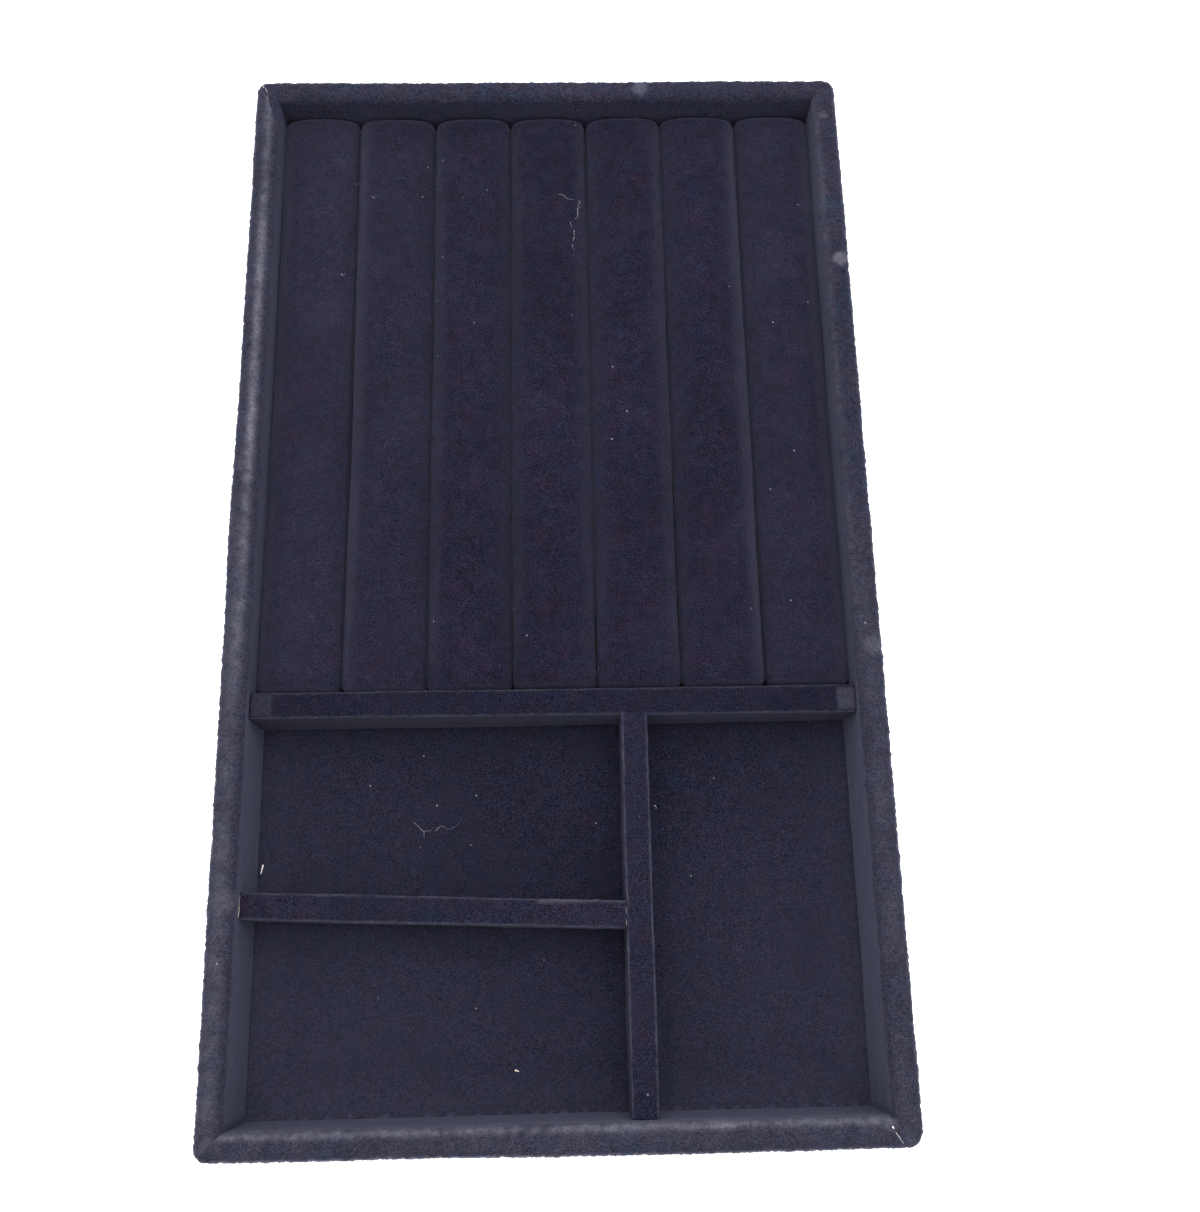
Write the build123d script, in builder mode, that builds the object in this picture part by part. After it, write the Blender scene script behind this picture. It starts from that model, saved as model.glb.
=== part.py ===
"""A velvet-lined jewelry tray: seven ring rolls behind a cross divider, three open bays in front.

The origin is the middle of the underside. X runs across the tray, Y runs along it towards the
ring rolls and Z is up. All lengths are in millimetres.
"""
from build123d import *
from math import atan2, cos, degrees, pi, radians, sin, tan
import os

os.makedirs("parts", exist_ok=True)

# The whole tray, measured over its velvet
tray_width = 200.0
tray_length = 346.0
tray_height = 32.0
corner_radius = 3.8

# Cloth and boards
velvet = 0.8
wall_thickness = 6.0
divider_thickness = 6.4
base_thickness = 2.4
card_thickness = 2.0
rebate_width = 2.5
housing_depth = 2.0

# Roundings on the boards, under the velvet
wall_edge_radius = 1.4
divider_edge_radius = 0.3
card_edge_radius = 0.5

# How the cloth ends under the tray
turn_in_width = 12.0
sheet_gap = 0.4
sheet_thickness = 1.2

# The bays in front of the ring rolls
front_length = 115.7
left_bay_width = 112.5
small_bay_length = 56.7
short_divider_skew = 2.4
divider_drop = 5.0
card_gap = 0.3

# The ring rolls
roll_count = 7
roll_gap = 0.4
roll_end_gap = 0.4
crown_drop = 8.0
crown_rise = 5.5
shoulder_share = 0.75
side_draw = 1.0
roll_end_radius = 4.0
roll_end_bands = 2

# Worked-out widths and levels
wall_width = wall_thickness + 2 * velvet
divider_width = divider_thickness + 2 * velvet
inner_width = tray_width - 2 * wall_width
inner_length = tray_length - 2 * wall_width
base_bottom = sheet_thickness
velvet_bottom = base_bottom - velvet
base_top = base_bottom + base_thickness
board_width = tray_width - 2 * velvet
board_length = tray_length - 2 * velvet
board_top = tray_height - velvet
divider_top = tray_height - divider_drop
pad_top = base_top + card_thickness

# Worked-out places of the dividers
left_face = -inner_width / 2
right_face = inner_width / 2
near_face = -inner_length / 2
far_face = inner_length / 2
cross_front = near_face + front_length
cross_middle = cross_front + divider_width / 2
cross_back = cross_front + divider_width
long_left = left_face + left_bay_width
long_middle = long_left + divider_width / 2
long_right = long_left + divider_width
core_reach = velvet + housing_depth

# The short divider runs askew: its middle line leaves the left wall here and falls towards the right
skew = radians(short_divider_skew)
short_start = near_face + small_bay_length + divider_width / 2 / cos(skew)
short_middle_x = (left_face + long_left) / 2
short_middle_y = short_start - tan(skew) * left_bay_width / 2
short_run = left_bay_width / cos(skew)
short_place = Location((short_middle_x, short_middle_y, base_top), (0, 0, -short_divider_skew))


def upper_edges(part):
    """The edges round the top face of a part."""
    return part.faces().sort_by(Axis.Z)[-1].edges()


# Dividers: plain boards whose ends are let into the wall or divider that they meet
with BuildPart() as cross_divider_board:
    with BuildSketch(Plane.XY.offset(base_top)):
        with Locations((0, cross_middle)):
            Rectangle(inner_width + 2 * core_reach, divider_thickness)
    extrude(amount=divider_top - velvet - base_top)
    ridges = cross_divider_board.edges().filter_by(Axis.X).group_by(Axis.Z)[-1]
    fillet(ridges, radius=divider_edge_radius)

with BuildPart() as long_divider_board:
    with BuildSketch(Plane.XY.offset(base_top)):
        with Locations((long_middle, (near_face + cross_front) / 2)):
            Rectangle(divider_thickness, front_length + 2 * core_reach)
    extrude(amount=divider_top - velvet - base_top)
    ridges = long_divider_board.edges().filter_by(Axis.Y).group_by(Axis.Z)[-1]
    fillet(ridges, radius=divider_edge_radius)

with BuildPart() as short_divider_board:
    with BuildSketch(Plane(short_place)):
        Rectangle(short_run + 2 * core_reach, divider_thickness)
    extrude(amount=divider_top - velvet - base_top)
    ridges = short_divider_board.edges().filter_by(Axis(short_place.position, Plane(short_place).x_dir))
    fillet(ridges.group_by(Axis.Z)[-1], radius=divider_edge_radius)

# Velvet sleeves over the dividers, open below, where the boards stand on the base
with BuildPart() as cross_divider_velvet:
    with BuildSketch(Plane.XY.offset(base_top)):
        with Locations((0, cross_middle)):
            Rectangle(inner_width, divider_width)
    extrude(amount=divider_top - base_top)
    ridges = cross_divider_velvet.edges().filter_by(Axis.X).group_by(Axis.Z)[-1]
    fillet(ridges, radius=divider_edge_radius + velvet)
    add(cross_divider_board.part, mode=Mode.SUBTRACT)
    add(long_divider_board.part, mode=Mode.SUBTRACT)

with BuildPart() as long_divider_velvet:
    with BuildSketch(Plane.XY.offset(base_top)):
        with Locations((long_middle, (near_face + cross_front) / 2)):
            Rectangle(divider_width, front_length)
    extrude(amount=divider_top - base_top)
    ridges = long_divider_velvet.edges().filter_by(Axis.Y).group_by(Axis.Z)[-1]
    fillet(ridges, radius=divider_edge_radius + velvet)
    add(long_divider_board.part, mode=Mode.SUBTRACT)
    add(short_divider_board.part, mode=Mode.SUBTRACT)

with BuildPart() as short_divider_velvet:
    with BuildSketch(Plane(short_place)):
        Rectangle(short_run + 2 * core_reach, divider_width)
    extrude(amount=divider_top - base_top)
    ridges = short_divider_velvet.edges().filter_by(Axis(short_place.position, Plane(short_place).x_dir))
    fillet(ridges.group_by(Axis.Z)[-1], radius=divider_edge_radius + velvet)
    with BuildSketch(Plane.XY.offset(base_top)):
        with Locations((short_middle_x, (near_face + cross_front) / 2)):
            Rectangle(left_bay_width, front_length)
    extrude(amount=divider_top - base_top, mode=Mode.INTERSECT)
    add(short_divider_board.part, mode=Mode.SUBTRACT)

# The cross divider's board takes the long divider's end, and the long one's takes the short one's
with BuildPart() as cross_divider_housed:
    add(cross_divider_board.part)
    add(long_divider_board.part, mode=Mode.SUBTRACT)

with BuildPart() as long_divider_housed:
    add(long_divider_board.part)
    add(short_divider_board.part, mode=Mode.SUBTRACT)

# The base board lies in a rebate round the foot of the walls
with BuildPart() as base_board:
    with BuildSketch(Plane.XY.offset(base_bottom)):
        Rectangle(board_width - 2 * rebate_width, board_length - 2 * rebate_width)
    extrude(amount=base_thickness)

# The frame of wall boards, rounded along its top edges and hollowed for the base and the dividers
with BuildPart() as board_frame:
    with BuildSketch(Plane.XY.offset(base_bottom)):
        RectangleRounded(board_width, board_length, corner_radius - velvet)
        Rectangle(inner_width + 2 * velvet, inner_length + 2 * velvet, mode=Mode.SUBTRACT)
    extrude(amount=board_top - base_bottom)
    fillet(upper_edges(board_frame), radius=wall_edge_radius)
    add(base_board.part, mode=Mode.SUBTRACT)
    add(cross_divider_board.part, mode=Mode.SUBTRACT)
    add(long_divider_board.part, mode=Mode.SUBTRACT)
    add(short_divider_board.part, mode=Mode.SUBTRACT)

# The velvet that wraps the walls: down the inside, over the rim, down the outside and turned in below
with BuildPart() as velvet_frame:
    with BuildSketch(Plane.XY.offset(velvet_bottom)):
        RectangleRounded(tray_width, tray_length, corner_radius)
    extrude(amount=tray_height - velvet_bottom)
    with BuildSketch(Plane.XY.offset(base_top)):
        Rectangle(inner_width, inner_length)
    extrude(amount=tray_height - base_top, mode=Mode.SUBTRACT)
    fillet(upper_edges(velvet_frame), radius=wall_edge_radius + velvet)
    with BuildSketch(Plane.XY.offset(velvet_bottom)):
        Rectangle(tray_width - 2 * turn_in_width, tray_length - 2 * turn_in_width)
    extrude(amount=velvet, mode=Mode.SUBTRACT)
    add(base_board.part, mode=Mode.SUBTRACT)
    add(board_frame.part, mode=Mode.SUBTRACT)
    add(cross_divider_board.part, mode=Mode.SUBTRACT)
    add(long_divider_board.part, mode=Mode.SUBTRACT)
    add(short_divider_board.part, mode=Mode.SUBTRACT)


def corners(inset):
    """The corners of a rectangle inside the tray's outline, from near left round to far left."""
    x = tray_width / 2 - inset
    y = tray_length / 2 - inset
    return [(-x, -y), (x, -y), (x, y), (-x, y)]


outer_corners = corners(0)
inner_corners = corners(wall_width + turn_in_width)


def mitred_side(frame, side):
    """One side of a frame, cut from it along the mitres at its two corners."""
    after = (side + 1) % len(outer_corners)
    outer_edge = (outer_corners[side], outer_corners[after])
    inner_edge = (inner_corners[after], inner_corners[side])
    with BuildPart() as piece:
        add(frame)
        with BuildSketch():
            with BuildLine():
                Polyline(*outer_edge, *inner_edge, close=True)
            make_face()
        extrude(amount=tray_height, mode=Mode.INTERSECT)
    return piece


for side, place in enumerate(("near", "right", "far", "left")):
    wall_board = mitred_side(board_frame.part, side)
    wall_board.part.label = f"wall_board_{place}"
    export_step(wall_board.part, f"parts/wall_board_{place}.step")
    wall_velvet = mitred_side(velvet_frame.part, side)
    wall_velvet.part.label = f"wall_velvet_{place}"
    export_step(wall_velvet.part, f"parts/wall_velvet_{place}.step")

# The sheet that closes the underside, inside the turned-in velvet
sheet_inset = turn_in_width + sheet_gap
with BuildPart() as underside_sheet:
    with BuildSketch():
        Rectangle(tray_width - 2 * sheet_inset, tray_length - 2 * sheet_inset)
    extrude(amount=sheet_thickness)

# Outlines of the three open bays; the short divider parts the left one in two
with BuildSketch() as left_bay:
    with Locations((short_middle_x, (near_face + cross_front) / 2)):
        Rectangle(left_bay_width, front_length)
    with Locations(Location((short_middle_x, short_middle_y), -short_divider_skew)):
        Rectangle(short_run + 2 * core_reach, divider_width, mode=Mode.SUBTRACT)

with BuildSketch() as right_bay:
    with Locations(((long_right + right_face) / 2, (near_face + cross_front) / 2)):
        Rectangle(right_face - long_right, front_length)

bays = {
    "front_left": left_bay.faces().sort_by(Axis.Y)[0],
    "back_left": left_bay.faces().sort_by(Axis.Y)[-1],
    "right": right_bay.face(),
}

# Each bay's floor is a card with velvet drawn over its top and edges
for place, bay in bays.items():
    with BuildPart() as floor_card:
        with BuildSketch(Plane.XY.offset(base_top)):
            add(bay)
            offset(amount=-card_gap - velvet, kind=Kind.INTERSECTION)
        extrude(amount=card_thickness)
        fillet(upper_edges(floor_card), radius=card_edge_radius)
    floor_card.part.label = f"floor_card_{place}"
    export_step(floor_card.part, f"parts/floor_card_{place}.step")

    with BuildPart() as floor_velvet:
        with BuildSketch(Plane.XY.offset(base_top)):
            add(bay)
            offset(amount=-card_gap, kind=Kind.INTERSECTION)
        extrude(amount=card_thickness + velvet)
        fillet(upper_edges(floor_velvet), radius=card_edge_radius + velvet)
        add(floor_card.part, mode=Mode.SUBTRACT)
    floor_velvet.part.label = f"floor_velvet_{place}"
    export_step(floor_velvet.part, f"parts/floor_velvet_{place}.step")

# The board that carries the ring rolls
ring_bay_length = far_face - cross_back
ring_bay_middle = (far_face + cross_back) / 2
with BuildPart() as ring_pad_board:
    with BuildSketch(Plane.XY.offset(base_top)):
        with Locations((0, ring_bay_middle)):
            Rectangle(inner_width - 2 * card_gap, ring_bay_length - 2 * card_gap)
    extrude(amount=card_thickness)

# One ring roll: flat below, drawn in at the foot, with a crown of three arcs and rounded ends
roll_pitch = inner_width / roll_count
roll_length = ring_bay_length - 2 * roll_end_gap
roll_height = tray_height - crown_drop - pad_top


def roll_outline(inset):
    """The cross-section of a roll, smaller by an inset on every side but the bottom."""
    half = (roll_pitch - roll_gap) / 2 - inset
    shoulder = roll_height - crown_rise
    rise = crown_rise - inset
    small = rise * shoulder_share
    large = ((half - small) ** 2 + rise**2 - small**2) / (2 * (rise - small))
    turn = atan2(large - rise, half - small)
    with BuildSketch() as outline:
        with BuildLine():
            right = JernArc(start=(half, shoulder), tangent=(0, 1), radius=small, arc_size=degrees(turn))
            crown = JernArc(start=right @ 1, tangent=right % 1, radius=large, arc_size=degrees(pi - 2 * turn))
            left = JernArc(start=crown @ 1, tangent=crown % 1, radius=small, arc_size=degrees(turn))
            Line(left @ 1, (side_draw - half, 0))
            Line((side_draw - half, 0), (half - side_draw, 0))
            Line((half - side_draw, 0), right @ 0)
        make_face()
    return outline.sketch


def across(along):
    """The upright plane across the middle roll at a distance from the middle of the ring bay."""
    return Plane(origin=(0, ring_bay_middle + along, pad_top), x_dir=(1, 0, 0), z_dir=(0, -1, 0))


# The foam core stops where the cover starts to round off, and the tucked-in velvet fills the rest
foam_half = roll_length / 2 - roll_end_radius
with BuildPart() as roll_core:
    with BuildSketch(across(foam_half)):
        add(roll_outline(velvet))
    extrude(amount=2 * foam_half)

# The velvet cover, its ends rounded off in bands
turns = [pi / 2 * step / roll_end_bands for step in range(roll_end_bands + 1)]
stations = [(foam_half + roll_end_radius * cos(turn), roll_end_radius * (1 - sin(turn))) for turn in turns]
stations += [(-along, drawn) for along, drawn in reversed(stations)]
with BuildPart() as roll_cover:
    for along, drawn in stations:
        with BuildSketch(across(along)):
            add(roll_outline(drawn))
    loft(ruled=True)
    add(roll_core.part, mode=Mode.SUBTRACT)

for number in range(1, roll_count + 1):
    roll_middle = left_face + (number - 1 / 2) * roll_pitch
    with BuildPart() as ring_roll_foam:
        with Locations((roll_middle, 0)):
            add(roll_core.part)
    ring_roll_foam.part.label = f"ring_roll_foam_{number}"
    export_step(ring_roll_foam.part, f"parts/ring_roll_foam_{number}.step")

    with BuildPart() as ring_roll_velvet:
        with Locations((roll_middle, 0)):
            add(roll_cover.part)
    ring_roll_velvet.part.label = f"ring_roll_velvet_{number}"
    export_step(ring_roll_velvet.part, f"parts/ring_roll_velvet_{number}.step")

# The pieces that are made once
single_pieces = {
    "base_board": base_board,
    "underside_sheet": underside_sheet,
    "cross_divider_board": cross_divider_housed,
    "cross_divider_velvet": cross_divider_velvet,
    "long_divider_board": long_divider_housed,
    "long_divider_velvet": long_divider_velvet,
    "short_divider_board": short_divider_board,
    "short_divider_velvet": short_divider_velvet,
    "ring_pad_board": ring_pad_board,
}
for label, piece in single_pieces.items():
    piece.part.label = label
    export_step(piece.part, f"parts/{label}.step")
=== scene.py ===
"""The looks of a velvet-lined jewelry tray: wrapped walls, sleeved dividers, bay floors and ring rolls."""
import bmesh
import bpy
from math import cos, exp, hypot, pi, radians, sin, tan
from mathutils import Matrix, Vector, noise


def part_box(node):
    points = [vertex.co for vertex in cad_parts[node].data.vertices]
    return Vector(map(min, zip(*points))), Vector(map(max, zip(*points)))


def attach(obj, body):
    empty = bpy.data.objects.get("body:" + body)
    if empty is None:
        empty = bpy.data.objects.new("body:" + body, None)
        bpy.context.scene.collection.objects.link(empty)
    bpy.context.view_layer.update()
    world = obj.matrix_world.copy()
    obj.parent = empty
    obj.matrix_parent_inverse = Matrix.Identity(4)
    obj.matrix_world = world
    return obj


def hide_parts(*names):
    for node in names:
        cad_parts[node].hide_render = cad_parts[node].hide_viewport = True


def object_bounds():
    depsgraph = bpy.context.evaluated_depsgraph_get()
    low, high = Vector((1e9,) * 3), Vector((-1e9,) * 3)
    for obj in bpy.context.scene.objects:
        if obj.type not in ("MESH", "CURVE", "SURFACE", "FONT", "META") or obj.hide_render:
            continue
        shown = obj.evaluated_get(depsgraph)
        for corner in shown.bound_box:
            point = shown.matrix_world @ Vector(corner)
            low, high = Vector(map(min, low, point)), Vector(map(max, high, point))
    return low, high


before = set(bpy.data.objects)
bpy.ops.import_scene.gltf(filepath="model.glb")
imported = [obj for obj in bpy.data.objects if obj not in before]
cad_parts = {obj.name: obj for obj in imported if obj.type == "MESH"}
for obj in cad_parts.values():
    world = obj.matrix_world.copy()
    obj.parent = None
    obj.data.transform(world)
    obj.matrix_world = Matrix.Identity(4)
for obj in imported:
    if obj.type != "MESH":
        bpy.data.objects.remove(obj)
cad_low, cad_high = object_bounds()
mm = 0.001

# Sizes read from the boards and velvets of the frame
half_width = cad_high.x
half_length = cad_high.y
rim_top = cad_high.z
cross_low, cross_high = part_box("cross_divider_velvet")
long_low, long_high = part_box("long_divider_velvet")
short_low, short_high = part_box("short_divider_velvet")
hem_low, hem_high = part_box("wall_velvet_near")
sheet_low, sheet_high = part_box("underside_sheet")
pad_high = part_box("ring_pad_board")[1]
left_face, right_face = cross_low.x, cross_high.x
wall_width = half_width - right_face
near_face, far_face = wall_width - half_length, half_length - wall_width
board_foot = cross_low.z
divider_top = cross_high.z
divider_width = cross_high.y - cross_low.y
cross_run = right_face - left_face
velvet_foot = hem_low.z
hem_width = hem_high.y - hem_low.y

# Shapes that the velvet has over its boards
corner_radius = 3.8 * mm
rim_radius = 2.2 * mm
foot_radius = 0.6 * mm
ridge_radius = 1.1 * mm
short_skew = radians(2.4)
cloth_thickness = 0.75 * mm

# How near to a height or an edge still counts as on it
slack = 0.1 * mm

# Ruffles of the pile: the wavelength and the height of each layer of noise
wall_waves = [(38 * mm, 0.25 * mm), (7 * mm, 0.14 * mm)]
rim_waves = [(1.5 * mm, 0.24 * mm), (0.7 * mm, 0.34 * mm)]
sleeve_waves = [(30 * mm, 0.2 * mm), (5 * mm, 0.12 * mm), (1.4 * mm, 0.12 * mm)]
floor_waves = [(26 * mm, 0.35 * mm), (6 * mm, 0.12 * mm), (1.8 * mm, 0.1 * mm)]
roll_waves = [(40 * mm, 0.35 * mm), (9 * mm, 0.12 * mm)]


def ramp(value, low, high):
    """Rises smoothly from 0 at low to 1 at high."""
    share = min(1, max(0, (value - low) / (high - low)))
    return share * share * (3 - 2 * share)


def bump_at(distance, reach):
    """A soft hill: 1 at no distance, next to nothing at twice the reach."""
    return exp(-((distance / reach) ** 2))


# Tools of the bench

def pick(piece):
    """Selects a piece alone and makes it the active one."""
    bpy.ops.object.select_all(action="DESELECT")
    piece.select_set(True)
    bpy.context.view_layer.objects.active = piece


def block(name, low, high):
    """Adds a block between two corners and leaves it open for editing."""
    bpy.ops.object.select_all(action="DESELECT")
    low, high = Vector(low), Vector(high)
    bpy.ops.mesh.primitive_cube_add(size=1, location=(low + high) / 2, scale=high - low)
    piece = bpy.context.object
    piece.name = piece.data.name = name
    bpy.ops.object.transform_apply(location=True, rotation=True, scale=True)
    bpy.ops.object.mode_set(mode="EDIT")
    return piece


def choose(piece, kind, test):
    """Selects just the faces or edges that pass a test on their middle and their direction."""
    bpy.ops.mesh.select_mode(type=kind)
    bpy.ops.mesh.select_all(action="DESELECT")
    grid = bmesh.from_edit_mesh(piece.data)
    if kind == "FACE":
        for face in grid.faces:
            face.select_set(test(face.calc_center_median(), face.normal))
    else:
        for edge in grid.edges:
            start, end = (point.co for point in edge.verts)
            edge.select_set(test((start + end) / 2, end - start))
    grid.select_flush_mode()
    bmesh.update_edit_mesh(piece.data)


def along(direction, axis):
    """Whether an edge runs along one axis: 0 for X, 1 for Y and 2 for Z."""
    return abs(direction[axis]) > 0.999 * direction.length


def round_off(piece, radius, segments, test):
    """Rounds the edges that pass a test."""
    choose(piece, "EDGE", test)
    bpy.ops.mesh.bevel(offset=radius, segments=segments, profile=0.5, affect="EDGES")


def divide(piece, test, *cuts):
    """Divides the edges that pass a test, once for each number of cuts."""
    for number in cuts:
        choose(piece, "EDGE", test)
        bpy.ops.mesh.subdivide(number_cuts=number)


def drop_faces(piece, test):
    """Removes the faces that pass a test."""
    choose(piece, "FACE", test)
    bpy.ops.mesh.delete(type="FACE")


def close_edit(piece):
    """Leaves edit mode with the piece alone selected."""
    bpy.ops.object.mode_set(mode="OBJECT")
    pick(piece)


def open_edit(piece):
    """Opens a finished block for editing again."""
    pick(piece)
    bpy.ops.object.mode_set(mode="EDIT")


def cut(place, normal):
    """Cuts the opened piece along a plane and drops what lies on the side its normal points to."""
    bpy.ops.mesh.select_all(action="SELECT")
    bpy.ops.mesh.bisect(plane_co=place, plane_no=normal, clear_outer=True)


def duplicate(piece, name):
    """A second piece with a mesh of its own."""
    pick(piece)
    bpy.ops.object.duplicate(linked=False)
    copy = bpy.context.object
    copy.name = copy.data.name = name
    return copy


def move_points(piece, rule):
    """Moves every point to where the rule puts it, given its place and its normal."""
    mesh = piece.data
    normals = [point.normal.copy() for point in mesh.vertices]
    for point, normal in zip(mesh.vertices, normals):
        point.co = rule(point.co.copy(), normal)
    mesh.update()


def ruffled(layers, share=lambda place: 1):
    """A rule that lifts the surface by layers of noise, each with a wavelength and a height."""
    def rule(place, normal):
        lift = sum(height * noise.noise(place / wave) for wave, height in layers)
        return place + normal * lift * share(place)
    return rule


def thicken(piece):
    """Gives the cloth its thickness, inwards from the pile side."""
    solid = piece.modifiers.new("thickness", "SOLIDIFY")
    solid.thickness = cloth_thickness
    solid.offset = -1
    bpy.context.view_layer.objects.active = piece
    bpy.ops.object.modifier_apply(modifier=solid.name)


def paint_wear_and_light(piece, rule):
    """Writes how pale the pile is painted at each point, from 0 to 1, for its wear and for painted light.
    """
    mesh = piece.data
    layer = mesh.attributes.new("wear_and_painted_light", "FLOAT", "POINT")
    normals = [point.normal.copy() for point in mesh.vertices]
    for value, point, normal in zip(layer.data, mesh.vertices, normals):
        value.value = min(1, max(0, rule(point.co, normal)))


def dress(piece, material, nodes):
    """Finishes a piece: its material, the nodes that it stands for and its body."""
    piece.data.materials.clear()
    piece.data.materials.append(material)
    pick(piece)
    bpy.ops.object.shade_smooth()
    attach(piece, "root")
    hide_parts(*nodes)


# Finishes

def add_node(tree, kind, place, **values):
    """Adds a node at a column and row and sets its inputs by name."""
    node = tree.nodes.new(kind)
    node.location = (place[0] * 220, -place[1] * 200)
    for name, value in values.items():
        if name in node.inputs:
            node.inputs[name].default_value = value
        else:
            setattr(node, name, value)
    return node


def new_material(name):
    """An empty node material with its shader, and the place of each point in the frame."""
    material = bpy.data.materials.new(name)
    material.use_nodes = True
    tree = material.node_tree
    tree.nodes.clear()
    output = add_node(tree, "ShaderNodeOutputMaterial", (6, 0))
    shader = add_node(tree, "ShaderNodeBsdfPrincipled", (5, 0))
    place = add_node(tree, "ShaderNodeTexCoord", (-2, 0))
    tree.links.new(shader.outputs["BSDF"], output.inputs["Surface"])
    return material, tree, shader, place.outputs["Object"]


def noise_node(tree, place, at, scale, detail, roughness=0.5):
    """A cloudy pattern with a number of features to the metre."""
    node = add_node(tree, "ShaderNodeTexNoise", at, Scale=scale, Detail=detail, Roughness=roughness)
    tree.links.new(place, node.inputs["Vector"])
    return node


def spread_node(tree, value, at, low, high, bottom=0.0, top=1.0):
    """Maps a value from one range to another and stops at its ends."""
    node = add_node(tree, "ShaderNodeMapRange", at)
    node.inputs["From Min"].default_value = low
    node.inputs["From Max"].default_value = high
    node.inputs["To Min"].default_value = bottom
    node.inputs["To Max"].default_value = top
    tree.links.new(value, node.inputs["Value"])
    return node.outputs["Result"]


def feed(tree, sockets, values):
    """Sets each socket to its value, or links it to its value where that is another node's output."""
    for socket, value in zip(sockets, values):
        if isinstance(value, bpy.types.NodeSocket):
            tree.links.new(value, socket)
        else:
            socket.default_value = value


def blend_node(tree, at, share, first, second):
    """Mixes two colours by a share, through the mix node's sockets for colours."""
    node = add_node(tree, "ShaderNodeMix", at, data_type="RGBA")
    feed(tree, (node.inputs[0], node.inputs[6], node.inputs[7]), (share, first, second))
    return node.outputs[2]


def product_node(tree, at, first, second):
    """Multiplies two values."""
    node = add_node(tree, "ShaderNodeMath", at, operation="MULTIPLY")
    feed(tree, node.inputs, (first, second))
    return node.outputs["Value"]


def tinted(colour, tint):
    """An opaque colour, each of its parts taken times that of a tint."""
    return (*(part * share for part, share in zip(colour, tint)), 1)


# Tints that the pile drifts between, its sheen, and the specks of dust in it
warm_tint = (1.27, 0.94, 0.9)
cool_tint = (0.74, 1.07, 1.08)
sheen_tint = (0.56, 0.6, 0.9, 1)
dust_colour = (0.5, 0.5, 0.54, 1)


def velvet_material(name, pile, patch, worn_and_lit_pile, sheen, dust=0.3):
    """Dark pile: fine grain, soft patches where it leans, a paler pile where worn and where light is
    painted, a cool sheen and specks of dust.
    """
    material, tree, shader, place = new_material(name)
    grain = noise_node(tree, place, (-1, 0), 2400, 2, 0.7)
    lean = noise_node(tree, place, (-1, 1), 260, 4, 0.65)
    drift = noise_node(tree, place, (-1, 2), 28, 2)
    tint = noise_node(tree, place, (-1, 3), 170, 4, 0.65)
    depth = spread_node(tree, grain.outputs["Fac"], (0, 0), 0.33, 0.67, 0.1, 1.9)
    leaning = spread_node(tree, lean.outputs["Fac"], (0, 1), 0.3, 0.7, 1 - patch, 1 + patch)
    drifting = spread_node(tree, drift.outputs["Fac"], (0, 2), 0.3, 0.7, 1 - patch / 2, 1 + patch / 2)
    light = product_node(tree, (1, 0), product_node(tree, (1, 1), depth, leaning), drifting)
    hue = blend_node(tree, (1, 2), spread_node(tree, tint.outputs["Fac"], (0, 3), 0.3, 0.7),
                     tinted(pile, cool_tint), tinted(pile, warm_tint))
    scaled = add_node(tree, "ShaderNodeVectorMath", (2, 0), operation="SCALE")
    tree.links.new(hue, scaled.inputs[0])
    tree.links.new(light, scaled.inputs["Scale"])
    # The points' attribute paints the pile paler: wear, and painted highlight, sheen and light over shade
    worn_and_lit_attribute = add_node(tree, "ShaderNodeAttribute", (0, 4), attribute_name="wear_and_painted_light")
    broken = noise_node(tree, place, (-1, 4), 900, 3, 0.7)
    patchy = spread_node(tree, broken.outputs["Fac"], (0, 5), 0.3, 0.7, 0.35, 1)
    worn_and_lit = product_node(tree, (1, 4), worn_and_lit_attribute.outputs["Fac"], patchy)
    colour = blend_node(tree, (3, 0), worn_and_lit, scaled.outputs[0], (*worn_and_lit_pile, 1))
    specks = add_node(tree, "ShaderNodeTexVoronoi", (-1, 6), Scale=240)
    tree.links.new(place, specks.inputs["Vector"])
    near = spread_node(tree, specks.outputs["Distance"], (0, 6), 0.045, 0.075, 1, 0)
    few = add_node(tree, "ShaderNodeSeparateColor", (0, 7))
    tree.links.new(specks.outputs["Color"], few.inputs[0])
    lucky = spread_node(tree, few.outputs[0], (1, 7), 0.9, 0.96, 0, dust)
    speck = product_node(tree, (2, 6), near, lucky)
    colour = blend_node(tree, (4, 0), speck, colour, dust_colour)
    tree.links.new(colour, shader.inputs["Base Color"])
    shader.inputs["Roughness"].default_value = 1
    shader.inputs["Specular IOR Level"].default_value = 0.05
    shader.inputs["Sheen Weight"].default_value = sheen
    shader.inputs["Sheen Roughness"].default_value = 0.42
    shader.inputs["Sheen Tint"].default_value = sheen_tint
    bump = add_node(tree, "ShaderNodeBump", (4, 3), Strength=0.8, Distance=0.35 * mm)
    tree.links.new(grain.outputs["Fac"], bump.inputs["Height"])
    tree.links.new(bump.outputs["Normal"], shader.inputs["Normal"])
    return material


def board_material(name, pale, dark, scale):
    """Pressed board: short fibres and a slightly uneven tone."""
    material, tree, shader, place = new_material(name)
    fibre = noise_node(tree, place, (-1, 0), scale, 6, 0.75)
    cloud = noise_node(tree, place, (-1, 1), scale / 12, 2)
    share = product_node(tree, (1, 0), fibre.outputs["Fac"], cloud.outputs["Fac"])
    tone = spread_node(tree, share, (2, 0), 0.15, 0.35)
    colour = blend_node(tree, (3, 0), tone, (*dark, 1), (*pale, 1))
    tree.links.new(colour, shader.inputs["Base Color"])
    shader.inputs["Roughness"].default_value = 0.85
    bump = add_node(tree, "ShaderNodeBump", (4, 3), Strength=0.3, Distance=0.1 * mm)
    tree.links.new(fibre.outputs["Fac"], bump.inputs["Height"])
    tree.links.new(bump.outputs["Normal"], shader.inputs["Normal"])
    return material
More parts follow.
